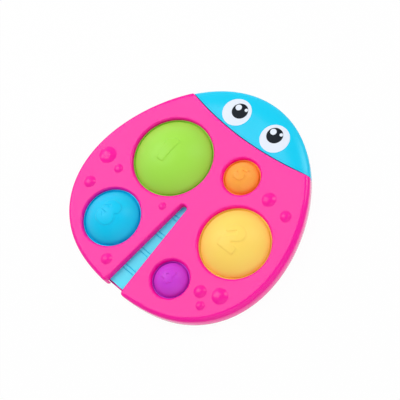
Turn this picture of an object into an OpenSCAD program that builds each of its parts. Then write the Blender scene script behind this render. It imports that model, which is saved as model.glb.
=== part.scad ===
// Bubble pop toy in the shape of a ladybird: a flat hollow case with five soft bubbles that pop
// through it from either side. The toy lies on its back cover with the head towards +Y.
// The table is at z = 0, and all sizes are in millimetres.

/* [Case] */
// Height of the case, from the table to the flat top of the wings
case_h = 10; // [9.6:0.2:12]
// Thickness of the top plate
top_t = 2.5; // [2:0.1:2.8]
// Thickness of the side walls
wall = 2.2; // [1.8:0.1:2.6]
// Thickness of the back cover's plate
back_t = 2; // [1.8:0.1:2.4]
// Radius of the rounded top edge of the wings
edge_r = 3; // [2.4:0.1:3.6]
// Gap between the back cover and the walls round it
fit_gap = 0.3; // [0.2:0.05:0.5]

/* [Outline] */
// Width of the case between a bubble's hole and the outline's mean circle, where it is least
rim_w = 6.2; // [6:0.1:9]
// Sideways place of the outline's centre
outline_x = 0.1; // [-0.5:0.1:0.5]
// Lengthways place of the outline's centre
outline_y = -3.7; // [-4.5:0.1:-3]
// How much longer than wide the outline is, as a change of radius
outline_oval = 0.7; // [0:0.1:1]
// How much the outline narrows towards the head, as a change of radius
outline_pear = 3.6; // [3:0.05:4]
// How flat the four sides are, as a change of radius
outline_square = 0.55; // [0.2:0.05:0.8]
// How blunt the head is, as a change of radius
outline_blunt = 0.2; // [0:0.05:0.5]
// Sideways lean of the outline, as a change of radius
outline_lean = 0.6; // [0:0.1:0.8]

/* [Head] */
// Radius of the arc of the seam between head and wings
seam_r = 238; // [200:1:300]
// Sideways place of the seam's lowest point
seam_x = 2; // [0:0.5:4]
// Lengthways place of the seam's lowest point
seam_y = 49.6; // [49.2:0.1:50.4]
// Gap along the seam
seam_gap = 0.3; // [0.2:0.05:0.5]
// Width over which the head rounds down to its edge
head_round_w = 14; // [10:0.5:16]
// Depth by which the head rounds down to its edge
head_round_h = 4; // [3:0.25:5]

/* [Eyes] */
// Sideways place of the middle between the two eyes
eyes_x = 1.1; // [-2:0.1:3]
// Lengthways place of the eyes
eyes_y = 62; // [61.5:0.1:63]
// Distance between the centres of the eye whites
eye_spacing = 33.7; // [31:0.1:36]
// Diameter of the eye whites
eye_d = 20.3; // [18:0.1:21]
// Diameter of the pupils
pupil_d = 11.3; // [9:0.1:12]
// Shift of each pupil towards the other eye
pupil_in = 1.3; // [0:0.1:3]
// Shift of each pupil towards the head's edge
pupil_up = 1.7; // [0:0.1:3]
// Diameter of the large glint in each pupil
glint_d = 4.4; // [3:0.1:5]
// Distance of the large glint from the pupil's centre
glint_off = 2.83; // [2:0.05:3.2]
// Diameter of the small glint in each pupil
small_glint_d = 2.4; // [1.5:0.1:2.8]
// Distance of the small glint from the pupil's centre
small_glint_off = 4.39; // [3.9:0.05:4.4]
// Thickness of one printed layer
print_t = 0.15; // [0.1:0.01:0.2]

/* [Belly] */
// Sideways place of the slot's narrow tip
slot_tip_x = 1; // [0:0.1:2]
// Lengthways place of the slot's narrow tip
slot_tip_y = -9; // [-11:0.1:-8]
// Radius of the rounded corners at the slot's tip
slot_tip_r = 2; // [1:0.1:2.4]
// Width of the slot at its tip
slot_tip_w = 6.6; // [5:0.1:8]
// Width of the slot at its wide end, past the tail
slot_tail_w = 14.5; // [12:0.1:16]
// Distance from the tip to the slot's wide end
slot_l = 72.6; // [72.4:0.1:76]
// Depth of the belly strip below the top of the wings
belly_depth = 5; // [4.4:0.1:5.4]
// Thickness of the belly strip and of the slot's walls
belly_t = 1.5; // [1.2:0.1:1.8]
// Length of the strip from the slot's tip to its straight tail end
belly_l = 68.3; // [65:0.1:68.6]
// Number of pairs of grooves across the strip
groove_pairs = 4; // [2:1:4]
// Distance from one pair of grooves to the next
groove_pitch = 15.1; // [12:0.1:15.5]
// Distance from the slot's tip to the first pair of grooves
groove_first = 10.2; // [9:0.1:12]
// Distance between the two grooves of a pair
groove_gap = 2.7; // [2:0.1:4]
// Width of a groove
groove_w = 0.8; // [0.4:0.1:1]
// Depth of a groove
groove_depth = 0.4; // [0.2:0.05:0.6]

/* [Bubbles] */
// Sideways place of the green bubble
green_x = -30; // [-30.5:0.1:-29.5]
// Lengthways place of the green bubble
green_y = 11.5; // [11.2:0.1:12]
// Diameter of the hole round the green bubble
green_d = 56; // [52:0.5:57]
// Height of the green bubble above the top of the case
green_rise = 10; // [8:0.25:11]
// Sideways place of the yellow bubble
yellow_x = 44.4; // [44.2:0.1:44.8]
// Lengthways place of the yellow bubble
yellow_y = -8.4; // [-8.8:0.1:-8.2]
// Diameter of the hole round the yellow bubble
yellow_d = 48; // [44:0.5:49]
// Height of the yellow bubble above the top of the case
yellow_rise = 8.5; // [7:0.25:9.5]
// Sideways place of the blue bubble
blue_x = -34.4; // [-34.8:0.1:-34]
// Lengthways place of the blue bubble
blue_y = -45.8; // [-46.2:0.1:-45.6]
// Diameter of the hole round the blue bubble
blue_d = 40.5; // [37:0.5:41.5]
// Height of the blue bubble above the top of the case
blue_rise = 7.75; // [6:0.25:8.5]
// Sideways place of the orange bubble
orange_x = 17.8; // [17.4:0.1:18]
// Lengthways place of the orange bubble
orange_y = 28.5; // [28.3:0.1:29]
// Sideways place of the purple bubble
purple_x = 27.4; // [27:0.1:28]
// Lengthways place of the purple bubble
purple_y = -52.4; // [-53:0.1:-52.2]
// Diameter of the holes round the two small bubbles
small_d = 25.2; // [23:0.1:26.5]
// Height of the two small bubbles above the top of the case
small_rise = 5; // [4:0.25:6]
// Thickness of a bubble's flange
flange_t = 1.5; // [1.2:0.1:1.8]
// Width of the flange that is clamped under the top plate
flange_grip = 2.6; // [2.2:0.1:2.7]
// Width of the flat ring of flange that shows in the hole
flange_show = 1.4; // [1:0.1:1.8]
// Thickness of a bubble's soft dome
dome_t = 1.2; // [1:0.1:1.4]
// Width of the crown's edge between the numeral's height and the web
crown_margin = 2.5; // [2:0.1:3]
// Gap between a bubble's crown and the web round it
crown_gap = 0.12; // [0.08:0.01:0.2]
// Height of the numerals on the three large bubbles, from top to bottom
numeral_h = 18.4; // [14:0.2:20]
// Height of the numerals on the two small bubbles, from top to bottom
small_numeral_h = 10; // [7:0.2:11]
// Shift of the numerals from the middle of the bubbles towards the head
numeral_up = 0.7; // [-0.5:0.1:1]
// How far the numerals stand out of the bubbles
relief = 0.4; // [0.2:0.05:0.6]

/* [Spots] */
// Most that a spot stands above the wings
spot_rise = 1.8; // [1:0.1:2.4]
// Most that a spot stands above the wings, as a share of its radius
spot_share = 0.5; // [0.3:0.05:0.6]

/* [Screws] */
// Diameter of the screws' thread
screw_d = 2.6; // [2.2:0.1:3]
// Length of the screws' thread
screw_l = 6.5; // [6:0.1:7]
// Diameter of the screws' heads
screw_head_d = 4.8; // [4.2:0.1:5]
// Height of the screws' heads
screw_head_h = 1.4; // [1.2:0.1:1.5]
// Depth of the counterbores in the back cover
counterbore_h = 1.7; // [1.6:0.05:1.8]
// Diameter of the screw posts
post_d = 7; // [6.6:0.1:7.2]
// Height of the back cover's posts above its plate
post_h = 2.4; // [2:0.1:3]
// Distance from the outline to the screws near the edge of the wings
screw_inset = 6.8; // [6.6:0.1:7]
// Distance from the outline to the screws in the head
head_screw_inset = 9; // [8:0.1:10]

/* [Hidden] */
$fn = 64;

pink = [0.99, 0.22, 0.62];
cyan = [0.25, 0.8, 0.95];
steel = [0.75, 0.76, 0.78];
green = [0.6, 0.86, 0.3];
yellow = [1, 0.86, 0.42];
blue = [0.12, 0.8, 0.96];
purple = [0.78, 0.26, 0.82];
orange = [1, 0.62, 0.26];

outline_at = [outline_x, outline_y];
seam_at = [seam_x, seam_y];
eyes_at = [eyes_x, eyes_y];
// Where the glints lie on the pupil, as angles from the +X side
glint_angle = 148;
small_glint_angle = 41.3;
glint_at = glint_off * [cos(glint_angle), sin(glint_angle)];
small_glint_at = small_glint_off * [cos(small_glint_angle), sin(small_glint_angle)];
slot_tip_at = [slot_tip_x, slot_tip_y];
slot_tail_at = [0, slot_tip_y - slot_l];
// The loft's facets round the outline, and the steps of its rounded edges
outline_steps = 96;
edge_steps = 6;
head_steps = 8;
inner_steps = 4;
corner_steps = 5;
// How far a cutting shape runs past what it cuts
over = 1;

inner_top = case_h - top_t;
inner_edge_r = 1;
belly_top = case_h - belly_depth;
slot_wall = belly_t;
back_inset = wall + fit_gap;
post_top = back_t + post_h;
screw_clear = 0.05;
post_clear = 0.2;
head_clear = 0.3;
// How far the flange runs in under the foot of the dome
flange_in = 1.3 * dome_t;

// Angles are measured from the head direction, anticlockwise seen from above.
edge_screw_angles = [98, 58, -65, -132];
inner_screws = [[-13, -64], [12, -30], [-2, 43]];
head_screw_angles = [27, -27];

// Each spot has a place and a radius.
spots = [[[-67.9, -14.9], 6], [[-54.5, -17.7], 3.1], [[-64.5, -36.8], 4.1], [[-10.9, -19.1], 2.6],
    [[-16.1, -69.1], 3.8], [[43.3, 26.9], 4.6], [[59.4, 24.6], 3.6], [[60.7, -40.8], 5.2],
    [[48.8, -46.4], 4.1], [[54.9, -53.2], 2.8]];

// Each bubble has a place, a hole diameter, a rise above the case and a numeral's height.
green_bubble = [[green_x, green_y], green_d, green_rise, numeral_h];
yellow_bubble = [[yellow_x, yellow_y], yellow_d, yellow_rise, numeral_h];
blue_bubble = [[blue_x, blue_y], blue_d, blue_rise, numeral_h];
purple_bubble = [[purple_x, purple_y], small_d, small_rise, small_numeral_h];
orange_bubble = [[orange_x, orange_y], small_d, small_rise, small_numeral_h];
bubbles = [green_bubble, yellow_bubble, blue_bubble, purple_bubble, orange_bubble];

// Corners of the numerals, each a place and a radius, as shares of the numeral's height
one = [[0.09, -0.5, 0.08], [0.09, 0.5, 0.06], [-0.14, 0.5, 0.05], [-0.38, 0.29, 0.05],
    [-0.38, 0.08, 0.05], [-0.25, 0.12, 0.03], [-0.25, -0.5, 0.08]];
two = [[-0.33, -0.5, 0.07], [0.37, -0.5, 0.08], [0.37, -0.2, 0.08], [0.02, -0.2, 0.03],
    [0.35, 0.07, 0.2], [0.35, 0.5, 0.3], [-0.37, 0.5, 0.3], [-0.38, 0.07, 0.05], [-0.28, 0.05, 0.04],
    [-0.04, 0.3, 0.04], [0.06, 0.18, 0.04], [-0.36, -0.24, 0.1]];
three = [[0.34, -0.5, 0.32], [0.37, -0.03, 0.2], [0.21, 0.06, 0.03], [0.33, 0.18, 0.14],
    [0.31, 0.5, 0.26], [-0.34, 0.5, 0.28], [-0.36, 0.12, 0.04], [-0.28, 0.12, 0.03],
    [-0.14, 0.27, 0.04], [-0.03, 0.23, 0.04], [-0.08, 0.14, 0.04], [-0.16, 0.17, 0.03],
    [-0.31, 0.06, 0.04], [-0.31, -0.06, 0.04], [-0.05, -0.06, 0.03], [0, -0.17, 0.05],
    [-0.1, -0.28, 0.05], [-0.23, -0.13, 0.05], [-0.38, -0.16, 0.05], [-0.38, -0.5, 0.28]];
four = [[0.26, -0.5, 0.07], [0.26, -0.3, 0.03], [0.39, -0.3, 0.06], [0.39, -0.03, 0.06],
    [0.26, -0.03, 0.03], [0.26, 0.5, 0.08], [-0.07, 0.5, 0.08], [-0.42, 0, 0.08],
    [-0.42, -0.3, 0.07], [-0.06, -0.3, 0.03], [-0.06, -0.5, 0.07]];
four_hole = [[-0.05, -0.04, 0.02], [-0.05, 0.2, 0.02], [-0.21, -0.04, 0.02]];
five = [[0.37, -0.5, 0.28], [0.37, 0.18, 0.24], [0, 0.18, 0.02], [0, 0.25, 0.02],
    [0.32, 0.25, 0.07], [0.32, 0.5, 0.07], [-0.31, 0.5, 0.07], [-0.35, -0.05, 0.07],
    [-0.09, -0.05, 0.04], [0, -0.16, 0.05], [-0.1, -0.27, 0.05], [-0.24, -0.19, 0.05],
    [-0.38, -0.24, 0.05], [-0.36, -0.5, 0.16]];

// The outline's mean radius leaves the rim outside the hole that reaches furthest out.
outline_r = rim_w + max([for (b = bubbles) norm(b[0] - outline_at) + b[1] / 2]);

function out_radius(a) = outline_r + outline_oval * cos(2 * a) + outline_pear * cos(3 * a)
    - outline_square * cos(4 * a) + outline_blunt * cos(5 * a) - outline_lean * sin(2 * a);
function out_point(a) = outline_at + out_radius(a) * [-sin(a), cos(a)];
function out_normal(a) = let (d = out_point(a + 1) - out_point(a - 1)) [d[1], -d[0]] / norm(d);
function inset_point(a, inset) = out_point(a) - inset * out_normal(a);

edge_screws = [for (a = edge_screw_angles) inset_point(a, screw_inset)];
head_screws = [for (a = head_screw_angles) inset_point(a, head_screw_inset)];
all_screws = concat(edge_screws, inner_screws, head_screws);

// A profile is a list of steps, each the inset from the outline and the height.
function rounded_profile(base, inset, w, h, top, steps) = concat([[inset, base]],
    [for (i = [0:steps]) let (a = 90 * i / steps) [inset + w * (1 - cos(a)), top - h * (1 - sin(a))]]);

wing_outer = rounded_profile(0, 0, edge_r, edge_r, case_h, edge_steps);
wing_inner = rounded_profile(-over, wall, inner_edge_r, inner_edge_r, inner_top, inner_steps);
head_outer = rounded_profile(0, 0, head_round_w, head_round_h, case_h, head_steps);
head_inner = rounded_profile(-over, wall, head_round_w - wall, head_round_h, inner_top, inner_steps);

// Arc of radius r that rounds the corner at q between the points p and s
function corner(p, q, s, r) = let (
    a = (p - q) / norm(p - q),
    b = (s - q) / norm(s - q),
    half = acos(a * b) / 2,
    turn = 180 - 2 * half,
    mid = q + r / sin(half) * (a + b) / norm(a + b),
    from = q + r / tan(half) * a - mid,
    to = q + r / tan(half) * b - mid)
    [for (i = [0:corner_steps]) let (t = i / corner_steps)
        mid + (sin(turn - t * turn) * from + sin(t * turn) * to) / sin(turn)];

// Solid that follows the outline, inset and height by the steps of a profile
module loft(profile) {
    n = outline_steps;
    points = [for (s = profile, i = [0:n - 1])
        let (p = inset_point(360 * i / n, s[0])) [p[0], p[1], s[1]]];
    last = n * (len(profile) - 1);
    sides = [for (k = [0:len(profile) - 2], i = [0:n - 1])
        let (j = (i + 1) % n, a = k * n, b = (k + 1) * n)
        each [[a + i, b + i, b + j], [a + i, b + j, a + j]]];
    bottom = [[for (i = [0:n - 1]) i]];
    top = [[for (i = [n - 1:-1:0]) last + i]];
    polyhedron(points, concat(bottom, sides, top), convexity = 4);
}

// Room for the back cover inside the walls
module plate_room() {
    translate([0, 0, -over]) linear_extrude(back_t + over) outline_2d(wall);
}

module outline_2d(inset) {
    polygon([for (i = [0:outline_steps - 1]) inset_point(360 * i / outline_steps, inset)]);
}

// Disc on the head side of the seam, moved towards the wings by grow
module seam_disc(grow) {
    translate([seam_at[0], seam_at[1] + seam_r, -over])
        cylinder(h = case_h + 2 * over, r = seam_r + grow, $fn = 360);
}

// Wedge-shaped slot between the wings, wider by grow on every side, between two heights
module slot_wedge(grow, low, high) {
    tip = slot_tip_w / 2 + grow;
    tail = slot_tail_w / 2 + grow;
    corners = [slot_tail_at - [tail, 0], slot_tip_at + [-tip, grow], slot_tip_at + [tip, grow],
        slot_tail_at + [tail, 0]];
    translate([0, 0, low]) linear_extrude(high - low)
        polygon(concat([corners[0]], corner(corners[0], corners[1], corners[2], slot_tip_r + grow),
            corner(corners[1], corners[2], corners[3], slot_tip_r + grow), [corners[3]]));
}

module screw_bosses(places) {
    for (p = places)
        translate([p[0], p[1], post_top]) cylinder(h = inner_top - post_top + over, d = post_d);
}

module thread_holes(places) {
    depth = counterbore_h + screw_l + screw_clear;
    for (p = places)
        translate([p[0], p[1], -over]) cylinder(h = depth + over, r = screw_d / 2 + screw_clear);
}

// Pieces of the case

module spot(at, r) {
    rise = min(spot_rise, spot_share * r);
    ball = (r * r + rise * rise) / (2 * rise);
    translate([at[0], at[1], case_h])
        rotate_extrude()
            intersection() {
                translate([0, rise - ball]) circle(r = ball, $fn = 128);
                translate([0, -over / 2]) square([r, rise + over]);
            }
}

module wing_cover() {
    color(pink) difference() {
        union() {
            difference() {
                loft(wing_outer);
                difference() {
                    loft(wing_inner);
                    seam_disc(seam_gap / 2 + wall);
                    slot_wedge(slot_wall, belly_top, case_h);
                    screw_bosses(concat(edge_screws, inner_screws));
                }
            }
            for (s = spots) spot(s[0], s[1]);
        }
        seam_disc(seam_gap / 2);
        plate_room();
        slot_wedge(0, -over, case_h + over);
        for (b = bubbles)
            translate([b[0][0], b[0][1], 0]) cylinder(h = case_h + over, d = b[1]);
        thread_holes(concat(edge_screws, inner_screws));
    }
}

module head_cover() {
    color(cyan) difference() {
        intersection() {
            loft(head_outer);
            seam_disc(-seam_gap / 2);
        }
        difference() {
            intersection() {
                loft(head_inner);
                seam_disc(-seam_gap / 2 - wall);
            }
            screw_bosses(head_screws);
        }
        plate_room();
        thread_holes(head_screws);
    }
}

module belly_strip() {
    color(cyan) difference() {
        intersection() {
            slot_wedge(slot_wall, back_t, belly_top);
            belly_reach(0);
        }
        intersection() {
            slot_wedge(0, back_t - over, belly_top - belly_t);
            belly_reach(belly_t);
        }
        for (i = [0:groove_pairs - 1], side = [-1, 1]) {
            groove_y = slot_tip_y - groove_first - i * groove_pitch + side * groove_gap / 2;
            translate([slot_tip_x, groove_y, belly_top])
                cube([slot_tail_w * 2, groove_w, 2 * groove_depth], center = true);
        }
    }
}

// Everything on the head side of the strip's tail end
module belly_reach(inset) {
    translate([-slot_l, slot_tip_y - belly_l + inset, -over]) cube(2 * slot_l);
}

module back_cover() {
    color(pink) difference() {
        union() {
            linear_extrude(back_t) outline_2d(back_inset);
            for (b = bubbles)
                translate([b[0][0], b[0][1], 0])
                    cylinder(h = inner_top - flange_t, d = b[1] + 2 * flange_grip);
            for (p = all_screws)
                translate([p[0], p[1], 0]) cylinder(h = post_top, d = post_d);
        }
        for (b = bubbles)
            translate([b[0][0], b[0][1], -over]) cylinder(h = case_h, d = b[1] - flange_show);
        for (p = all_screws) {
            translate([p[0], p[1], -over])
                cylinder(h = counterbore_h + over, d = screw_head_d + 2 * head_clear);
            translate([p[0], p[1], 0]) cylinder(h = case_h, d = screw_d + 2 * post_clear);
        }
    }
}

module case_screws() {
    recess_w = screw_head_d / 8;
    recess_l = screw_head_d / 2;
    color(steel) for (p = all_screws)
        translate([p[0], p[1], counterbore_h - screw_head_h]) difference() {
            union() {
                cylinder(h = screw_head_h, d = screw_head_d);
                cylinder(h = screw_head_h + screw_l, d = screw_d);
            }
            for (turn = [0, 90]) rotate(turn)
                cube([recess_l, recess_w, screw_head_h], center = true);
        }
}

// Printed eyes

// Print on the head, on top of the given number of layers, where the columns stand
module print_layer(layer) {
    difference() {
        intersection() {
            union() children();
            translate([0, 0, print_t * (layer + 1)]) loft(head_outer);
        }
        translate([0, 0, print_t * layer]) loft(head_outer);
    }
}

module print_column(at, d) {
    translate([at[0], at[1], belly_top]) cylinder(h = case_h, d = d);
}

function eye_at(side) = eyes_at + [side * eye_spacing / 2, 0];
function pupil_at(side) = eye_at(side) + [-side * pupil_in, pupil_up];

module eye_whites() {
    color("white") print_layer(0)
        for (side = [-1, 1]) print_column(eye_at(side), eye_d);
}

module eye_pupils() {
    color([0.1, 0.12, 0.15]) print_layer(1)
        for (side = [-1, 1]) print_column(pupil_at(side), pupil_d);
}

module eye_glints() {
    color("white") print_layer(2)
        for (side = [-1, 1]) {
            print_column(pupil_at(side) + glint_at, glint_d);
            print_column(pupil_at(side) + small_glint_at, small_glint_d);
        }
}

// Soft bubbles

function dome_foot_r(b) = b[1] / 2 - flange_show;
function dome_rise(b) = b[2] + top_t;
function crown_d(b) = b[3] + 2 * crown_margin;
function ball_r(b) = let (r = dome_foot_r(b), h = dome_rise(b)) (r * r + h * h) / (2 * h);

// Half section of a bubble's dome, between two radii
module dome_section(b, inner_r, outer_r) {
    intersection() {
        translate([0, dome_rise(b) - ball_r(b)]) difference() {
            circle(r = ball_r(b), $fn = 180);
            circle(r = ball_r(b) - dome_t, $fn = 180);
        }
        translate([inner_r, -flange_t]) square([outer_r - inner_r, dome_rise(b) + flange_t + over]);
    }
}

// Ball that a bubble's dome is part of, larger by grow, with its poles out of the dome
module dome_ball(b, grow) {
    translate([0, 0, dome_rise(b) - ball_r(b)]) rotate([90, 0, 0])
        sphere(r = ball_r(b) + grow, $fn = 180);
}

module crown(b, shade) {
    reach = dome_rise(b) + over;
    color(shade) translate([b[0][0], b[0][1], inner_top]) difference() {
        union() {
            intersection() {
                cylinder(h = reach, d = crown_d(b));
                dome_ball(b, 0);
            }
            intersection() {
                translate([0, numeral_up, 0]) linear_extrude(reach) children();
                dome_ball(b, relief);
            }
        }
        dome_ball(b, -dome_t);
    }
}

module web(b, shade) {
    foot = dome_foot_r(b);
    flange_from = foot - flange_in;
    color(shade) translate([b[0][0], b[0][1], inner_top]) rotate_extrude() {
        dome_section(b, crown_d(b) / 2 + crown_gap, foot);
        translate([flange_from, -flange_t]) square([b[1] / 2 + flange_grip - flange_from, flange_t]);
    }
}

// Numerals

// Outline through rounded corners: each has a place and a radius, as shares of the height h
module rounded_outline(corners, h) {
    n = len(corners);
    place = [for (c = corners) h * [c[0], c[1]]];
    polygon([for (i = [0:n - 1])
        each corner(place[(i + n - 1) % n], place[i], place[(i + 1) % n], h * corners[i][2])]);
}

module numeral_4(h) {
    difference() {
        rounded_outline(four, h);
        rounded_outline(four_hole, h);
    }
}

module green_crown() { crown(green_bubble, green) rounded_outline(one, green_bubble[3]); }
module green_web() { web(green_bubble, green); }
module yellow_crown() { crown(yellow_bubble, yellow) rounded_outline(two, yellow_bubble[3]); }
module yellow_web() { web(yellow_bubble, yellow); }
module blue_crown() { crown(blue_bubble, blue) rounded_outline(three, blue_bubble[3]); }
module blue_web() { web(blue_bubble, blue); }
module purple_crown() { crown(purple_bubble, purple) numeral_4(purple_bubble[3]); }
module purple_web() { web(purple_bubble, purple); }
module orange_crown() { crown(orange_bubble, orange) rounded_outline(five, orange_bubble[3]); }
module orange_web() { web(orange_bubble, orange); }

wing_cover();
head_cover();
belly_strip();
back_cover();
case_screws();
eye_whites();
eye_pupils();
eye_glints();
green_crown();
green_web();
yellow_crown();
yellow_web();
blue_crown();
blue_web();
purple_crown();
purple_web();
orange_crown();
orange_web();
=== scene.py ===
import math

import bpy
import numpy as np
from mathutils import Matrix, Vector
from mathutils.geometry import delaunay_2d_cdt


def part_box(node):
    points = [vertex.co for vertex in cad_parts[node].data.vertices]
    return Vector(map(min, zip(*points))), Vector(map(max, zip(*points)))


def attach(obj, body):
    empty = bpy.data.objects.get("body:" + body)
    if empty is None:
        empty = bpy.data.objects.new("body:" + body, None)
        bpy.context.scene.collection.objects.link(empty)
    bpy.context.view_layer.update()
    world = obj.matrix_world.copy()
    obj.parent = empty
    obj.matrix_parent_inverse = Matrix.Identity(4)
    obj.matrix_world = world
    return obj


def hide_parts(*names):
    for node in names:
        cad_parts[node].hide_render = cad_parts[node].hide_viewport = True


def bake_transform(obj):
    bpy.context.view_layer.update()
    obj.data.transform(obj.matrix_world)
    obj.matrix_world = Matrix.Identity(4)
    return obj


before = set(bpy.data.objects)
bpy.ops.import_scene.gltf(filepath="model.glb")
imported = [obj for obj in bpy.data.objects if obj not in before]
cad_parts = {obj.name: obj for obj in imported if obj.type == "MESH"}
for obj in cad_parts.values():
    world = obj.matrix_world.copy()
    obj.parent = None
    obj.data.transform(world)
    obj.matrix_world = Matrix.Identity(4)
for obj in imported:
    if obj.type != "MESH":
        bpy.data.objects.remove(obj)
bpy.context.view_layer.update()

# Sizes are in millimetres until a mesh is made, in the part's own frame.
MM = 0.001
CASE_H = 10
TOP_T = 2.5
WALL = 2.2
BACK_T = 2
INNER_TOP = CASE_H - TOP_T
EDGE_R = 3
FOOT_R = 0.5
HOLE_EDGE_W = 1.7
HOLE_EDGE_H = 2.2

# Gap that keeps two faces out of one plane, and the smallest length that counts
FACE_GAP = 0.02
TINY = 0.01

# Outline of the case
RIM_W = 6.2
OUTLINE_AT = np.array([0.1, -3.7])
OVAL = 0.7
PEAR = 3.6
SQUARE = 0.55
BLUNT = 0.2
LEAN = 0.6

# Head and its seam. The two reaches are in degrees.
SEAM_R = 238
SEAM_LOW = np.array([2, 49.6])
SEAM_AT = SEAM_LOW + [0, SEAM_R]
SEAM_GAP = 0.5
SEAM_EDGE_R = 0.3
SEAM_REACH = 22
HEAD_ROUND_W = 14
HEAD_ROUND_H = 4
HEAD_REACH = 75

# Belly strip and its slot. TAIL_REACH is in degrees.
SLOT_TIP = np.array([1, -9.6])
SLOT_TAIL = np.array([0, -81.6])
SLOT_TIP_W = 5.2
SLOT_TAIL_W = 14.1
SLOT_END_R = 2
SLOT_EDGE_R = 1.2
SLOT_CORNER_R = 2.5
SLOT_CORNER_EDGE_R = 1.7
SLOT_CORNER_KEEP = 1.5
SLOT_CORNER_FADE = 5
SLOT_CORNER_ROOM = 1.5
TAIL_REACH = 30
ON_OUTLINE = 0.02
BELLY_TOP = 5
BELLY_T = 1.5
BELLY_END_Y = -77.3
BELLY_EDGE_R = 0.3
GROOVE_PAIRS = 4
GROOVE_PITCH = 15.1
GROOVE_FIRST_Y = -19.2
GROOVE_GAP = 2.7
GROOVE_W = 0.75
GROOVE_DEPTH = 0.8

# Bubbles, with the numeral, the rise above the case and the numeral's height of each
FLANGE_GRIP = 2.6
FLANGE_T = 1.5
LEDGE_W = 1.4
DOME_T = 1.2
FLANGE_IN = 1.3 * DOME_T
FOOT_FILLET = 0.3
FOOT_REACH = 3
FOOT_GROOVE_AT = 0.5
FOOT_GROOVE_W = 1
FOOT_GROOVE_DEPTH = 1.2
FOOT_GROOVE_POWER = 4
NUMERAL_UP = 0.7
RELIEF = 0.45
BUBBLES = {
    "green": (1, 10, 18.4),
    "yellow": (2, 8.5, 18.4),
    "blue": (3, 7.75, 18.4),
    "purple": (4, 5, 10),
    "orange": (5, 5, 10),
}

# Spots, with the place and the radius of each
SPOT_RISE = 1.6
SPOT_SHARE = 0.4
SPOT_FOOT = 0.35
SPOT_FADE = 3 * SPOT_FOOT
SPOT_FADE_POWER = 1.5
SPOTS = [
    ((-67.9, -14.9), 6), ((-54.5, -17.7), 3.1), ((-64.5, -36.8), 4.1), ((-10.9, -19.1), 2.6),
    ((-16.1, -69.1), 3.8), ((43.3, 26.9), 4.6), ((59.4, 24.6), 3.6), ((60.7, -40.8), 5.2),
    ((48.8, -46.4), 4.1), ((54.9, -53.2), 2.8),
]

# Printed eyes. A glint has a diameter, a distance from the pupil's centre and an angle.
EYES_AT = np.array([1.1, 62])
EYE_SPACING = 33.7
EYE_D = 20.3
PUPIL_D = 11.3
PUPIL_SHIFT = np.array([1.3, 1.7])
GLINTS = [(4.4, 2.83, 148), (2.4, 4.39, 41.3)]
PRINT_T = 0.15

# Longest steps of the meshes, and how many sides or points the round forms have.
# The outline's step and the angle from which an edge is sharp are in degrees.
OUTLINE_STEP = 0.5
EDGE_STEP = 0.7
HOLE_STEP = 0.9
DOME_STEP = 1.3
NUMERAL_STEP = 0.5
SPOT_SIDES = 48
PRINT_SIDES = 72
FEWEST_SIDES = 8
SEAM_POINTS = 241
CROSSING_POINTS = 6001
SHARP_ANGLE = 38

# Distance at which two points of a plan mesh count as one, and the points measured at a time
MERGE = 1e-5
BATCH = 2000

# Rings of the meshes. Fillets have a number of them, HEAD_GUIDES and FOOT_RINGS are
# distances, and the others have their places as shares.
EDGE_RINGS = 7
SEAM_RINGS = 3
HOLE_RINGS = 6
HEAD_RINGS = 12
HEAD_SUPPORT = 0.04
HEAD_GUIDES = (6, 10, 14, 18)
SPOT_RINGS = (0.15, 0.3, 0.45, 0.6, 0.72, 0.83, 0.91, 0.97)
SPOT_FOOT_RINGS = (0, 0.3, 0.6, 1, 1.6, 2.3, 3, 3.4)
GROOVE_LINES = (-0.6, -0.5, -0.25, 0, 0.25, 0.5, 0.6)
DISC_RINGS = (0.2, 0.4, 0.6, 0.8, 0.92, 1)
FOOT_RINGS = (0.5, 0.25)
FOOT_GROOVE_RINGS = (-0.5, -0.45, -0.35, 0, 0.35, 0.45, 0.5)
NUMERAL_RINGS = (-1, -0.5, 0, 0.5, 1)


# Plan curves


def out_point(angle):
    """Points of the case's outline at angles in degrees, anticlockwise from the head."""
    a = np.radians(angle)
    r = (outline_r + OVAL * np.cos(2 * a) + PEAR * np.cos(3 * a) - SQUARE * np.cos(4 * a)
         + BLUNT * np.cos(5 * a) - LEAN * np.sin(2 * a))
    return OUTLINE_AT + r[:, None] * np.stack([-np.sin(a), np.cos(a)], 1)


def circle(at, r, count):
    a = np.linspace(0, 2 * np.pi, count, endpoint=False)
    return np.array(at) + r * np.stack([np.cos(a), np.sin(a)], 1)


def side_count(r, step):
    """How many steps of a length go round a circle."""
    return round(2 * math.pi * r / step)


def round_corner(before, corner, after, r, steps=6):
    """Arc of radius r that rounds the corner between two neighbouring points."""
    a = (before - corner) / np.linalg.norm(before - corner)
    b = (after - corner) / np.linalg.norm(after - corner)
    half = math.acos(np.clip(a @ b, -1, 1)) / 2
    middle = corner + r / math.sin(half) * (a + b) / np.linalg.norm(a + b)
    start = corner + r / math.tan(half) * a - middle
    end = corner + r / math.tan(half) * b - middle
    turn = math.pi - 2 * half
    t = np.linspace(0, turn, steps + 1)[:, None]
    return middle + (np.sin(turn - t) * start + np.sin(t) * end) / math.sin(turn)


def rounded_outline(corners, h, at):
    """Closed outline through rounded corners, each a place and a radius as shares of the height h."""
    place = [h * np.array(c[:2]) + at for c in corners]
    arcs = []
    for i, c in enumerate(corners):
        arcs.append(round_corner(place[i - 1], place[i], place[(i + 1) % len(corners)], h * c[2]))
    return np.concatenate(arcs)


def resample(line, step, closed):
    """The same line with points at most a step apart."""
    ends = np.roll(line, -1, 0) if closed else line[1:]
    out = []
    for p, q in zip(line, ends):
        count = max(1, math.ceil(np.linalg.norm(q - p) / step))
        out.append(p + (q - p) * np.arange(count)[:, None] / count)
    if not closed:
        out.append(line[-1:])
    return np.concatenate(out)


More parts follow.
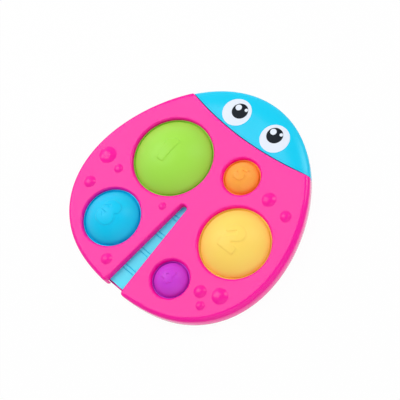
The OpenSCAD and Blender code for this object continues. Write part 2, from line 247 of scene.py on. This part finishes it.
def left_normals(line, closed):
    if closed:
        d = np.roll(line, -1, 0) - np.roll(line, 1, 0)
    else:
        d = np.gradient(line, axis=0)
    d = d / np.linalg.norm(d, axis=1)[:, None]
    return np.stack([-d[:, 1], d[:, 0]], 1)


def distance(points, line, closed=True):
    """Distance from points to a line, and the number of the nearest point of the line."""
    ends = np.roll(line, -1, 0) if closed else line[1:]
    starts = line if closed else line[:-1]
    d = ends - starts
    far = np.empty(len(points))
    near = np.empty(len(points), int)
    for i in range(0, len(points), BATCH):
        p = points[i:i + BATCH, None]
        t = np.clip(((p - starts) * d).sum(2) / (d * d).sum(1), 0, 1)
        gap = np.linalg.norm(p - starts - t[..., None] * d, axis=2)
        near[i:i + BATCH] = gap.argmin(1)
        far[i:i + BATCH] = gap.min(1)
    return far, near


def inside(points, loop):
    """Whether each point lies inside a closed loop."""
    x, y = points[:, 0, None], points[:, 1, None]
    x0, y0 = loop[:, 0], loop[:, 1]
    x1, y1 = np.roll(x0, -1), np.roll(y0, -1)
    crosses = (y0 > y) != (y1 > y)
    rise = np.where(y1 == y0, 1, y1 - y0)
    return (crosses & (x < x0 + (y - y0) / rise * (x1 - x0))).sum(1) % 2 == 1


def fillet_drop(d, w, h=None):
    """How far a rounded edge of width w and height h has dropped, at distance d from the edge."""
    u = np.clip(1 - d / w, 0, 1)
    return (w if h is None else h) * (1 - np.sqrt(1 - u * u))


def fillet_steps(steps, support=0.15):
    """Shares of a fillet's width at which its mesh has rings, the last one just past the fillet."""
    return [1 - math.cos(math.pi / 2 * k / steps) for k in range(steps + 1)] + [1 + support]


# Shells: a plan mesh with a top and an underside


def shell(name, lines, region, top, base, zone=None):
    """Closed solid over a plan region. Lines are (points, closed) guides of the plan mesh, top gives
    the height of points, and base the underside of points for the zone number of their face."""
    verts, edges = [], []
    for line, closed in lines:
        first, count = len(verts), len(line)
        verts += [Vector(p) for p in line]
        edges += [(first + i, first + (i + 1) % count) for i in range(count if closed else count - 1)]
    plan = delaunay_2d_cdt(verts, edges, [], 0, MERGE, False)
    xy = np.array([tuple(v) for v in plan[0]])
    tris = np.array(plan[2])
    centres = xy[tris].mean(1)
    kept = region(centres)
    tris, centres = tris[kept], centres[kept]
    zones = zone(centres) if zone else np.zeros(len(tris), int)
    return solid(name, xy, tris, zones, top(xy), {z: base(xy, z) for z in set(zones.tolist())})


def solid(name, xy, tris, zones, top, bases):
    """Mesh between the top heights and the base heights of a plan triangulation."""
    points, index, levels = [], {}, {}

    def point(v, level):
        key = (v, level)
        if key not in index:
            z = top[v] if level == "top" else bases[level][v]
            index[key] = len(points)
            points.append((xy[v][0] * MM, xy[v][1] * MM, z * MM))
            levels.setdefault(v, {})[level] = z
        return index[key]

    faces, sides = [], {}
    for tri, zone in zip(tris.tolist(), zones.tolist()):
        faces.append([point(v, "top") for v in tri])
        faces.append([point(v, zone) for v in reversed(tri)])
        for a, b in ((tri[0], tri[1]), (tri[1], tri[2]), (tri[2], tri[0])):
            sides.setdefault((min(a, b), max(a, b)), []).append((a, b, zone))

    def column(v, low, high):
        """Every point of a vertical edge, from one level up to another."""
        z = levels[v]
        run = [k for k in z if z[low] <= z[k] <= z[high]]
        return [point(v, k) for k in sorted(run, key=lambda k: z[k])]

    for found in sides.values():
        a, b, low = found[0]
        if len(found) == 1:
            faces.append(column(a, low, "top")[::-1] + column(b, low, "top"))
        elif found[1][2] != low:
            other = found[1][2]
            if bases[low][a] > bases[other][a]:
                a, b, low, other = b, a, other, low
            faces.append(column(a, low, other)[::-1] + column(b, low, other))
    mesh = bpy.data.meshes.new(name)
    mesh.from_pydata(points, [], faces)
    mesh.validate()
    mesh.update()
    mesh.shade_smooth()
    mesh.set_sharp_from_angle(angle=math.radians(SHARP_ANGLE))
    obj = bpy.data.objects.new(name, mesh)
    bpy.context.scene.collection.objects.link(obj)
    return obj


def rings(line, widths, steps, closed=True):
    """Guide lines of a fillet along a line, on its left."""
    normals = left_normals(line, closed)
    widths = np.broadcast_to(widths, len(line))[:, None]
    return [(line + normals * widths * s, closed) for s in fillet_steps(steps)]


# Places that come from the frame


def node_middle(node):
    lo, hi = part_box(node)
    return np.array(((lo + hi) / 2)[:2]) / MM


def hole_radius(colour):
    lo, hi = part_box(colour + "_web")
    return (hi - lo)[0] / MM / 2 - FLANGE_GRIP


bubble_at = {colour: node_middle(colour + "_web") for colour in BUBBLES}
hole_r = {colour: hole_radius(colour) for colour in BUBBLES}
outline_r = RIM_W + max(np.linalg.norm(bubble_at[c] - OUTLINE_AT) + hole_r[c] for c in BUBBLES)
outline_angles = np.arange(0, 360, OUTLINE_STEP)
outline = out_point(outline_angles)


# Case


def slot_side(side, grow=0):
    """The slot's edge on one side, from its wide end up to its narrow end."""
    tip_x = SLOT_TIP[0] + side * (SLOT_TIP_W / 2 + grow)
    tail_x = SLOT_TAIL[0] + side * (SLOT_TAIL_W / 2 + grow)
    return np.array([[tail_x, SLOT_TAIL[1]], [tip_x, SLOT_TIP[1] + grow]])


def slot_loop(grow=0):
    left, right = slot_side(-1, grow), slot_side(1, grow)
    r = SLOT_END_R + grow
    return np.concatenate([left[:1], round_corner(left[0], left[1], right[1], r),
                           round_corner(left[1], right[1], right[0], r), right[:1]])


def crossing(side):
    """Where the slot's edge crosses the outline: the place and the outline's angle there."""
    low, high = slot_side(side)
    angles = np.linspace(180 - TAIL_REACH, 180 + TAIL_REACH, CROSSING_POINTS)
    p = out_point(angles)
    line = high - low
    off = np.abs((p[:, 0] - low[0]) * line[1] - (p[:, 1] - low[1]) * line[0])
    i = off.argmin()
    return p[i], angles[i]


def wing_loop():
    """The wings' edge, anticlockwise: the outline, then up one side of the slot and down the other,
    and the width of the rounded edge at each of its points."""
    left, left_angle = crossing(-1)
    right, right_angle = crossing(1)
    reach = np.degrees(SLOT_CORNER_R * SLOT_CORNER_ROOM / outline_r)
    arc = out_point(np.arange(right_angle + reach, left_angle + 360 - reach, OUTLINE_STEP))
    # The outline's points a degree beyond the slot show which way it runs at the corners
    near_left = out_point(np.array([left_angle - 1]))[0]
    near_right = out_point(np.array([right_angle + 1]))[0]
    left_side, right_side = slot_side(-1), slot_side(1)
    end = [round_corner(left, left_side[1], right_side[1], SLOT_END_R),
           round_corner(left_side[1], right_side[1], right, SLOT_END_R)]
    first = round_corner(right_side[1], right, near_right, SLOT_CORNER_R)
    last = round_corner(near_left, left, left_side[1], SLOT_CORNER_R)
    line = resample(np.concatenate([arc, last, *end, first]), EDGE_STEP, True)
    from_outline = distance(line, outline)[0]
    from_corner = np.minimum(np.linalg.norm(line - left, axis=1), np.linalg.norm(line - right, axis=1))
    t = np.clip((from_corner - SLOT_CORNER_KEEP) / SLOT_CORNER_FADE, 0, 1)
    wide = np.where(from_outline < ON_OUTLINE, EDGE_R, SLOT_EDGE_R)
    return line, SLOT_CORNER_EDGE_R + (wide - SLOT_CORNER_EDGE_R) * t * t * (3 - 2 * t)


def seam_line(r):
    a = np.radians(np.linspace(-SEAM_REACH, SEAM_REACH, SEAM_POINTS))
    return SEAM_AT + r * np.stack([np.sin(a), -np.cos(a)], 1)


def from_seam(points):
    return np.linalg.norm(points - SEAM_AT, axis=1)


def spot_height(points, at, r):
    """Cap of a ball that runs out softly round its foot."""
    rise = min(SPOT_RISE, SPOT_SHARE * r)
    ball = (r * r + rise * rise) / (2 * rise)
    d = np.linalg.norm(points - at, axis=1)
    cap = np.sqrt(np.maximum(ball * ball - d * d, 0)) - (ball - rise)
    soft = (cap + np.sqrt(cap * cap + SPOT_FOOT ** 2 / 4)) / 2
    return soft * np.clip((r + SPOT_FADE - d) / SPOT_FADE, 0, 1) ** SPOT_FADE_POWER


def make_wings():
    edge, widths = wing_loop()
    wing_seam_r = SEAM_R + SEAM_GAP / 2
    lines = rings(edge, widths, EDGE_RINGS)
    lines += [(seam_line(wing_seam_r + SEAM_EDGE_R * s), False) for s in fillet_steps(SEAM_RINGS)]
    for colour in BUBBLES:
        count = side_count(hole_r[colour], HOLE_STEP)
        for s in fillet_steps(HOLE_RINGS):
            lines.append((circle(bubble_at[colour], hole_r[colour] + HOLE_EDGE_W * s, count), True))
    for at, r in SPOTS:
        for share in SPOT_RINGS:
            lines.append((circle(at, r * share, SPOT_SIDES), True))
        for step in SPOT_FOOT_RINGS:
            lines.append((circle(at, r + SPOT_FOOT * step, SPOT_SIDES), True))
    lines.append((outline + left_normals(outline, True) * WALL, True))
    lines.append((seam_line(wing_seam_r + WALL), False))
    lines.append((slot_loop(BELLY_T), False))

    def region(p):
        keep = inside(p, edge) & (from_seam(p) > wing_seam_r)
        for colour in BUBBLES:
            hole = circle(bubble_at[colour], hole_r[colour], side_count(hole_r[colour], HOLE_STEP))
            keep &= ~inside(p, hole)
        return keep

    def top(p):
        d, near = distance(p, edge)
        z = CASE_H - fillet_drop(d, widths[near])
        z -= fillet_drop(from_seam(p) - wing_seam_r, SEAM_EDGE_R)
        for colour in BUBBLES:
            d = np.linalg.norm(p - bubble_at[colour], axis=1) - hole_r[colour]
            z -= fillet_drop(d, HOLE_EDGE_W, HOLE_EDGE_H)
        for at, r in SPOTS:
            z += spot_height(p, at, r)
        return z

    side_wall, slot_wall, seam_wall, plate = range(4)
    heights = {side_wall: 0, slot_wall: BELLY_TOP, seam_wall: BACK_T, plate: INNER_TOP}

    def base(p, zone):
        z = np.full(len(p), float(heights[zone]))
        if zone == side_wall:
            z += fillet_drop(distance(p, outline)[0], FOOT_R)
        return z

    def zone(p):
        z = np.where(from_seam(p) < wing_seam_r + WALL, seam_wall, plate)
        z[inside(p, slot_loop(BELLY_T))] = slot_wall
        z[distance(p, outline)[0] < WALL] = side_wall
        return z

    return shell("wings", lines, region, top, base, zone)


def head_top(p):
    return CASE_H - fillet_drop(distance(p, outline)[0], HEAD_ROUND_W, HEAD_ROUND_H)


def make_head():
    head_seam_r = SEAM_R - SEAM_GAP / 2
    half = outline[(outline_angles < HEAD_REACH) | (outline_angles > 360 - HEAD_REACH)]
    half = np.roll(half, len(half) // 2, 0)
    normals = left_normals(half, False)
    lines = [(half + normals * HEAD_ROUND_W * s, False) for s in fillet_steps(HEAD_RINGS, HEAD_SUPPORT)]
    lines += [(seam_line(head_seam_r - SEAM_EDGE_R * s), False) for s in fillet_steps(SEAM_RINGS)]
    lines += [(seam_line(head_seam_r - d), False) for d in (WALL, *HEAD_GUIDES)]
    lines.append((half + normals * WALL, False))
    side_wall, seam_wall, dome = range(3)

    def region(p):
        return inside(p, outline) & (from_seam(p) < head_seam_r)

    def top(p):
        return head_top(p) - fillet_drop(head_seam_r - from_seam(p), SEAM_EDGE_R)

    def base(p, zone):
        if zone == side_wall:
            return fillet_drop(distance(p, outline)[0], FOOT_R)
        if zone == seam_wall:
            return np.full(len(p), float(BACK_T))
        d = np.maximum(distance(p, outline)[0] - WALL, 0)
        return INNER_TOP - fillet_drop(d, HEAD_ROUND_W - WALL, HEAD_ROUND_H)

    def zone(p):
        z = np.where(from_seam(p) > head_seam_r - WALL, seam_wall, dome)
        z[distance(p, outline)[0] < WALL] = side_wall
        return z

    return shell("head", lines, region, top, base, zone)


def make_belly():
    outer, inner = slot_loop(BELLY_T - FACE_GAP), slot_loop()
    grooves = []
    for i in range(GROOVE_PAIRS):
        for side in (-1, 1):
            grooves.append(GROOVE_FIRST_Y - i * GROOVE_PITCH + side * GROOVE_GAP / 2)
    lines = [(outer, False), (inner, False)]
    levels = [BELLY_END_Y, BELLY_END_Y + BELLY_EDGE_R, BELLY_END_Y + BELLY_T]
    for y in grooves:
        levels += [y + GROOVE_W * s for s in GROOVE_LINES]
    for y in levels:
        lines.append((np.array([[-SLOT_TAIL_W, y], [SLOT_TAIL_W, y]]), False))
    wall, strip = range(2)

    def region(p):
        return inside(p, outer) & (p[:, 1] > BELLY_END_Y)

    def top(p):
        z = np.full(len(p), float(BELLY_TOP)) - FACE_GAP / 2
        for y in grooves:
            t = np.clip(np.abs(p[:, 1] - y) / (GROOVE_W / 2), 0, 1)
            z -= GROOVE_DEPTH * (1 + np.cos(math.pi * t)) / 2
        z -= fillet_drop(p[:, 1] - BELLY_END_Y, BELLY_EDGE_R)
        return z

    def base(p, zone):
        return np.full(len(p), BELLY_TOP - BELLY_T if zone == strip else float(BACK_T))

    def zone(p):
        return np.where(inside(p, inner) & (p[:, 1] > BELLY_END_Y + BELLY_T), strip, wall)

    return shell("belly", lines, region, top, base, zone)


# Printed eyes


def print_disc(name, at, r, layer):
    lines = [(circle(at, r * share, PRINT_SIDES), True) for share in DISC_RINGS]
    lines.append((circle(at, r - PRINT_T / 2, PRINT_SIDES), True))

    def top(p):
        d = r - np.linalg.norm(p - at, axis=1)
        return head_top(p) + PRINT_T * (layer + 1) - fillet_drop(d, PRINT_T / 2)

    def base(p, zone):
        return head_top(p) + PRINT_T * layer

    return shell(name, lines, lambda p: inside(p, circle(at, r, PRINT_SIDES)), top, base)


def make_eyes():
    whites, pupils, glints = [], [], []
    for side, word in ((-1, "left"), (1, "right")):
        eye = EYES_AT + [side * EYE_SPACING / 2, 0]
        pupil = eye + PUPIL_SHIFT * [-side, 1]
        whites.append(print_disc("eye_white_" + word, eye, EYE_D / 2, 0))
        pupils.append(print_disc("pupil_" + word, pupil, PUPIL_D / 2, 1))
        for i, (d, off, angle) in enumerate(GLINTS):
            a = math.radians(angle)
            at = pupil + off * np.array([math.cos(a), math.sin(a)])
            glints.append(print_disc(f"glint_{word}_{i + 1}", at, d / 2, 2))
    return whites, pupils, glints


# Numerals, as corners with a place and a radius in shares of the numeral's height

ONE = [(0.09, -0.5, 0.08), (0.09, 0.5, 0.06), (-0.14, 0.5, 0.05), (-0.38, 0.29, 0.05),
       (-0.38, 0.08, 0.05), (-0.25, 0.12, 0.03), (-0.25, -0.5, 0.08)]
TWO = [(-0.33, -0.5, 0.07), (0.37, -0.5, 0.08), (0.37, -0.2, 0.08), (0.02, -0.2, 0.03),
       (0.35, 0.07, 0.2), (0.35, 0.5, 0.3), (-0.37, 0.5, 0.3), (-0.38, 0.07, 0.05), (-0.28, 0.05, 0.04),
       (-0.04, 0.3, 0.04), (0.06, 0.18, 0.04), (-0.36, -0.24, 0.1)]
THREE = [(0.34, -0.5, 0.32), (0.37, -0.03, 0.2), (0.21, 0.06, 0.03), (0.33, 0.18, 0.14),
         (0.31, 0.5, 0.26), (-0.34, 0.5, 0.28), (-0.36, 0.12, 0.04), (-0.28, 0.12, 0.03),
         (-0.14, 0.27, 0.04), (-0.03, 0.23, 0.04), (-0.08, 0.14, 0.04), (-0.16, 0.17, 0.03),
         (-0.31, 0.06, 0.04), (-0.31, -0.06, 0.04), (-0.05, -0.06, 0.03), (0, -0.17, 0.05),
         (-0.1, -0.28, 0.05), (-0.23, -0.13, 0.05), (-0.38, -0.16, 0.05), (-0.38, -0.5, 0.28)]
FOUR = [(0.26, -0.5, 0.07), (0.26, -0.3, 0.03), (0.39, -0.3, 0.06), (0.39, -0.03, 0.06),
        (0.26, -0.03, 0.03), (0.26, 0.5, 0.08), (-0.07, 0.5, 0.08), (-0.42, 0, 0.08),
        (-0.42, -0.3, 0.07), (-0.06, -0.3, 0.03), (-0.06, -0.5, 0.07)]
FOUR_HOLE = [(-0.05, -0.04, 0.02), (-0.05, 0.2, 0.02), (-0.21, -0.04, 0.02)]
FIVE = [(0.37, -0.5, 0.28), (0.37, 0.18, 0.24), (0, 0.18, 0.02), (0, 0.25, 0.02),
        (0.32, 0.25, 0.07), (0.32, 0.5, 0.07), (-0.31, 0.5, 0.07), (-0.35, -0.05, 0.07),
        (-0.09, -0.05, 0.04), (0, -0.16, 0.05), (-0.1, -0.27, 0.05), (-0.24, -0.19, 0.05),
        (-0.38, -0.24, 0.05), (-0.36, -0.5, 0.16)]
NUMERALS = {1: [ONE], 2: [TWO], 3: [THREE], 4: [FOUR, FOUR_HOLE], 5: [FIVE]}
NUMERAL_EDGE = 0.014


def make_bubble(colour):
    digit, rise, numeral_h = BUBBLES[colour]
    at = bubble_at[colour]
    foot = hole_r[colour] - LEDGE_W
    h = rise + TOP_T
    ball = (foot * foot + h * h) / (2 * h)
    bottom_r = foot - FLANGE_IN
    outer_r = hole_r[colour] + FLANGE_GRIP
    edge = numeral_h * NUMERAL_EDGE
    strokes = [rounded_outline(c, numeral_h, at + [0, NUMERAL_UP]) for c in NUMERALS[digit]]
    strokes = [resample(s, NUMERAL_STEP, True) for s in strokes]
    dome_skin, flange = range(2)

    def ball_height(r, radius):
        return INNER_TOP + h - ball + np.sqrt(np.maximum(radius * radius - r * r, TINY))

    def top(p):
        r = np.linalg.norm(p - at, axis=1)
        dome = ball_height(r, ball) - INNER_TOP
        soft = (dome + np.sqrt(dome * dome + FOOT_FILLET ** 2)) / 2
        z = INNER_TOP + np.where(r < foot + FOOT_REACH, soft, 0)
        t = np.clip(np.abs(r - foot - FOOT_GROOVE_AT) / (FOOT_GROOVE_W / 2), 0, 1)
        z -= FOOT_GROOVE_DEPTH * (1 - t ** FOOT_GROOVE_POWER)
        sign = np.where(inside(p, strokes[0]), 1, -1)
        s = distance(p, strokes[0])[0] * sign
        if len(strokes) > 1:
            sign = np.where(inside(p, strokes[1]), -1, 1)
            s = np.minimum(s, distance(p, strokes[1])[0] * sign)
        t = np.clip((s + edge) / (2 * edge), 0, 1)
        z += RELIEF * t * t * (3 - 2 * t)
        return np.where(r > hole_r[colour] - TINY, INNER_TOP - FACE_GAP, z)

    def base(p, zone):
        r = np.linalg.norm(p - at, axis=1)
        if zone == dome_skin:
            return ball_height(r, ball - DOME_T)
        return np.full(len(p), INNER_TOP - FLANGE_T)

    steps = math.ceil(foot / DOME_STEP)
    lines = []
    for k in range(1, steps):
        r = foot * k / steps
        lines.append((circle(at, r, max(FEWEST_SIDES, side_count(r, DOME_STEP))), True))
    rim = side_count(foot, HOLE_STEP)
    foot_rings = [foot - d for d in FOOT_RINGS]
    groove_rings = [foot + FOOT_GROOVE_AT + FOOT_GROOVE_W * s for s in FOOT_GROOVE_RINGS]
    for r in (*foot_rings, *groove_rings, hole_r[colour], outer_r, bottom_r):
        lines.append((circle(at, r, rim), True))
    for s in strokes:
        normals = left_normals(s, True)
        lines += [(s + normals * edge * k, True) for k in NUMERAL_RINGS]

    def region(p):
        return inside(p, circle(at, outer_r, rim))

    def zone(p):
        return np.where(inside(p, circle(at, bottom_r, rim)), dome_skin, flange)

    return shell(colour + "_bubble_skin", lines, region, top, base, zone)


# Materials: the drift of colour and gloss, the moulded grain in metres, and the light in the silicone
DRIFT_SCALE = 28
DRIFT_DETAIL = 3
GLOSS_DRIFT = 0.04
GRAIN_DETAIL = 2
GRAIN_HEIGHT = 0.0001
SCATTER_RADIUS = (1, 0.6, 0.4)
SCATTER_SCALE = 0.002


def linear(rgb):
    """Scene colour of an sRGB colour given as 0 to 255."""
    c = np.array(rgb) / 255
    return tuple(np.where(c <= 0.04045, c / 12.92, ((c + 0.055) / 1.055) ** 2.4).tolist()) + (1,)


def moulded(name, rgb, darker, roughness, grain, bump, subsurface=0, specular=0.22):
    """Moulded plastic or rubber: a faint drift of colour and gloss, and a fine grain."""
    mat = bpy.data.materials.new(name)
    mat.use_nodes = True
    nodes, links = mat.node_tree.nodes, mat.node_tree.links
    shader = nodes["Principled BSDF"]
    coords = nodes.new("ShaderNodeTexCoord")
    drift = nodes.new("ShaderNodeTexNoise")
    drift.inputs["Scale"].default_value = DRIFT_SCALE
    drift.inputs["Detail"].default_value = DRIFT_DETAIL
    links.new(coords.outputs["Object"], drift.inputs["Vector"])
    mix = nodes.new("ShaderNodeMix")
    mix.data_type = "RGBA"
    mix.inputs["A"].default_value = linear(rgb)
    mix.inputs["B"].default_value = linear(darker)
    links.new(drift.outputs["Fac"], mix.inputs["Factor"])
    links.new(mix.outputs["Result"], shader.inputs["Base Color"])
    gloss = nodes.new("ShaderNodeMapRange")
    gloss.inputs["To Min"].default_value = roughness - GLOSS_DRIFT
    gloss.inputs["To Max"].default_value = roughness + GLOSS_DRIFT
    links.new(drift.outputs["Fac"], gloss.inputs["Value"])
    links.new(gloss.outputs["Result"], shader.inputs["Roughness"])
    fine = nodes.new("ShaderNodeTexNoise")
    fine.inputs["Scale"].default_value = grain
    fine.inputs["Detail"].default_value = GRAIN_DETAIL
    links.new(coords.outputs["Object"], fine.inputs["Vector"])
    relief = nodes.new("ShaderNodeBump")
    relief.inputs["Strength"].default_value = bump
    relief.inputs["Distance"].default_value = GRAIN_HEIGHT
    links.new(fine.outputs["Fac"], relief.inputs["Height"])
    links.new(relief.outputs["Normal"], shader.inputs["Normal"])
    shader.inputs["Specular IOR Level"].default_value = specular
    if subsurface:
        shader.inputs["Subsurface Weight"].default_value = subsurface
        shader.inputs["Subsurface Radius"].default_value = SCATTER_RADIUS
        shader.inputs["Subsurface Scale"].default_value = SCATTER_SCALE
    return mat


def paint(obj, mat):
    obj.data.materials.clear()
    obj.data.materials.append(mat)


pink = moulded("pink_plastic", (253, 6, 161), (251, 2, 157),
               roughness=0.08, grain=2600, bump=0.04)
cyan = moulded("cyan_plastic", (8, 206, 242), (0, 201, 238),
               roughness=0.24, grain=2600, bump=0.08, specular=0.25)
strip_blue = moulded("strip_plastic", (90, 234, 255), (82, 230, 253),
                     roughness=0.3, grain=2600, bump=0.12)
white = moulded("white_print", (228, 235, 248), (225, 233, 246),
                roughness=0.35, grain=3000, bump=0.08)
black = moulded("black_print", (20, 26, 34), (26, 32, 42),
                roughness=0.25, grain=3000, bump=0.08, specular=0.06)
steel = moulded("screw_steel", (190, 192, 196), (170, 172, 177),
                roughness=0.35, grain=1500, bump=0.2)
steel.node_tree.nodes["Principled BSDF"].inputs["Metallic"].default_value = 1
SILICONE = {
    "green": ((163, 225, 78), (158, 220, 70)),
    "yellow": ((255, 219, 106), (253, 215, 98)),
    "blue": ((0, 201, 242), (0, 196, 238)),
    "purple": ((208, 62, 217), (203, 56, 212)),
    "orange": ((255, 172, 72), (253, 166, 64)),
}

wings = make_wings()
paint(wings, pink)
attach(wings, "case")
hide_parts("wing_cover")
head = make_head()
paint(head, cyan)
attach(head, "case")
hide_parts("head_cover")
belly = make_belly()
paint(belly, strip_blue)
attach(belly, "case")
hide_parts("belly_strip")

whites, pupils, glints = make_eyes()
for pieces, mat, slot, node in ((whites, white, "white_print", "eye_whites"),
                                (pupils, black, "black_print", "eye_pupils"),
                                (glints, white, "white_print", "eye_glints")):
    for piece in pieces:
        paint(piece, mat)
        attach(piece, "case")
        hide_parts(node)

for colour, (rgb, darker) in SILICONE.items():
    piece = make_bubble(colour)
    rubber = moulded(colour + "_silicone", rgb, darker,
                     roughness=0.42, grain=1800, bump=0.15, subsurface=0.1)
    paint(piece, rubber)
    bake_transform(piece)
    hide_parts(colour + "_crown", colour + "_web")

for node, mat in (("back_cover", pink), ("case_screws", steel)):
    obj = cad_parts[node]
    obj.data.materials.clear()
    obj.data.materials.append(mat)


# Camera, at the place that the photograph's circles give

CAMERA_AT = Vector((276.18, -82.87, 584.0)) * MM
CAMERA_RIGHT = Vector((0.7162, 0.6545, -0.2423))
CAMERA_UP = Vector((-0.5563, 0.7450, 0.3681))
CAMERA_NEAR = 0.01
SENSOR_W = 36
PHOTO_W = 400
FOCAL_PX = 979

camera_data = bpy.data.cameras.new("camera")
camera = bpy.data.objects.new("camera", camera_data)
bpy.context.scene.collection.objects.link(camera)
back = CAMERA_RIGHT.cross(CAMERA_UP).normalized()
turn = Matrix((CAMERA_RIGHT.normalized(), back.cross(CAMERA_RIGHT).normalized(), back)).transposed()
camera.matrix_world = Matrix.Translation(CAMERA_AT) @ turn.to_4x4()
camera_data.sensor_width = SENSOR_W
camera_data.lens = FOCAL_PX * SENSOR_W / PHOTO_W
camera_data.clip_start = CAMERA_NEAR
bpy.context.scene.camera = camera


# Floor, with its radius in metres and its opening as a share of the outline

FLOOR_R = 3
FLOOR_OPENING = 0.985
FLOOR_STEP = 5
FLOOR_GREY = 0.8
FLOOR_GLOW = 0.97

# World, whose light falls off from the horizon up to the height TOP_Z of its unit ball
HORIZON_LIGHT = 0.95
TOP_LIGHT = 0.06
TOP_Z = 0.7

# Lamps, with the direction from the object, the two sides in metres and the power in watts of each
LAMP_AWAY = 0.9
LAMPS = {
    "left_softbox": ((-0.61, -0.06, 0.79), (0.64, 0.88), 6.2),
    "front_fill": ((0.78, -0.28, 0.56), (1.2, 1.2), 3.7),
    "right_softbox": ((0.2, 0.73, 0.65), (0.42, 0.42), 2.3),
}


def background_rays(nodes, links):
    """1 for the rays that see the background as it is: those of the camera, of gloss and of glass."""
    path = nodes.new("ShaderNodeLightPath")
    total = path.outputs["Is Camera Ray"]
    for kind in ("Is Glossy Ray", "Is Transmission Ray"):
        add = nodes.new("ShaderNodeMath")
        add.operation = "ADD"
        add.use_clamp = True
        links.new(total, add.inputs[0])
        links.new(path.outputs[kind], add.inputs[1])
        total = add.outputs[0]
    return total


def make_floor():
    """Round floor, left open under the case so that the popped bubbles don't end at it."""
    angles = np.arange(0, 360, FLOOR_STEP)
    count = len(angles)
    a = np.radians(angles)
    inner = out_point(angles) * FLOOR_OPENING * MM
    outer = FLOOR_R * np.stack([-np.sin(a), np.cos(a)], 1)
    points = [(x, y, 0) for x, y in np.concatenate([inner, outer])]
    after = [(i + 1) % count for i in range(count)]
    mesh = bpy.data.meshes.new("floor")
    mesh.from_pydata(points, [], [(i, count + i, count + after[i], after[i]) for i in range(count)])
    floor = bpy.data.objects.new("floor", mesh)
    bpy.context.scene.collection.objects.link(floor)
    mat = bpy.data.materials.new("floor")
    mat.use_nodes = True
    nodes, links = mat.node_tree.nodes, mat.node_tree.links
    nodes.remove(nodes["Principled BSDF"])
    diffuse = nodes.new("ShaderNodeBsdfDiffuse")
    diffuse.inputs["Color"].default_value = (FLOOR_GREY, FLOOR_GREY, FLOOR_GREY, 1)
    glow = nodes.new("ShaderNodeEmission")
    glow.inputs["Strength"].default_value = 1
    mix = nodes.new("ShaderNodeMixShader")
    share = nodes.new("ShaderNodeMath")
    share.operation = "MULTIPLY"
    share.inputs[1].default_value = FLOOR_GLOW
    links.new(background_rays(nodes, links), share.inputs[0])
    links.new(share.outputs[0], mix.inputs["Fac"])
    links.new(diffuse.outputs[0], mix.inputs[1])
    links.new(glow.outputs[0], mix.inputs[2])
    links.new(mix.outputs[0], nodes["Material Output"].inputs["Surface"])
    mesh.materials.append(mat)


def make_world():
    world = bpy.data.worlds.new("world")
    bpy.context.scene.world = world
    world.use_nodes = True
    nodes, links = world.node_tree.nodes, world.node_tree.links
    coords = nodes.new("ShaderNodeTexCoord")
    parts = nodes.new("ShaderNodeSeparateXYZ")
    links.new(coords.outputs["Generated"], parts.inputs[0])
    sky = nodes.new("ShaderNodeMapRange")
    sky.inputs["From Max"].default_value = TOP_Z
    sky.inputs["To Min"].default_value = HORIZON_LIGHT
    sky.inputs["To Max"].default_value = TOP_LIGHT
    links.new(parts.outputs["Z"], sky.inputs["Value"])
    level = nodes.new("ShaderNodeMapRange")
    links.new(sky.outputs["Result"], level.inputs["To Min"])
    level.inputs["To Max"].default_value = 1
    links.new(background_rays(nodes, links), level.inputs["Value"])
    background = nodes["Background"]
    background.inputs["Color"].default_value = (1, 1, 1, 1)
    links.new(level.outputs["Result"], background.inputs["Strength"])


def softbox(name, direction, size, power):
    """Rectangular lamp that looks at the object from a direction."""
    lamp = bpy.data.lights.new(name, "AREA")
    lamp.shape = "RECTANGLE"
    lamp.size, lamp.size_y = size
    lamp.energy = power
    obj = bpy.data.objects.new(name, lamp)
    bpy.context.scene.collection.objects.link(obj)
    way = Vector(direction).normalized()
    obj.location = way * LAMP_AWAY
    obj.rotation_euler = way.to_track_quat("Z", "Y").to_euler()


make_floor()
make_world()
for lamp_name, lamp_values in LAMPS.items():
    softbox(lamp_name, *lamp_values)
bpy.context.scene.view_settings.view_transform = "Standard"
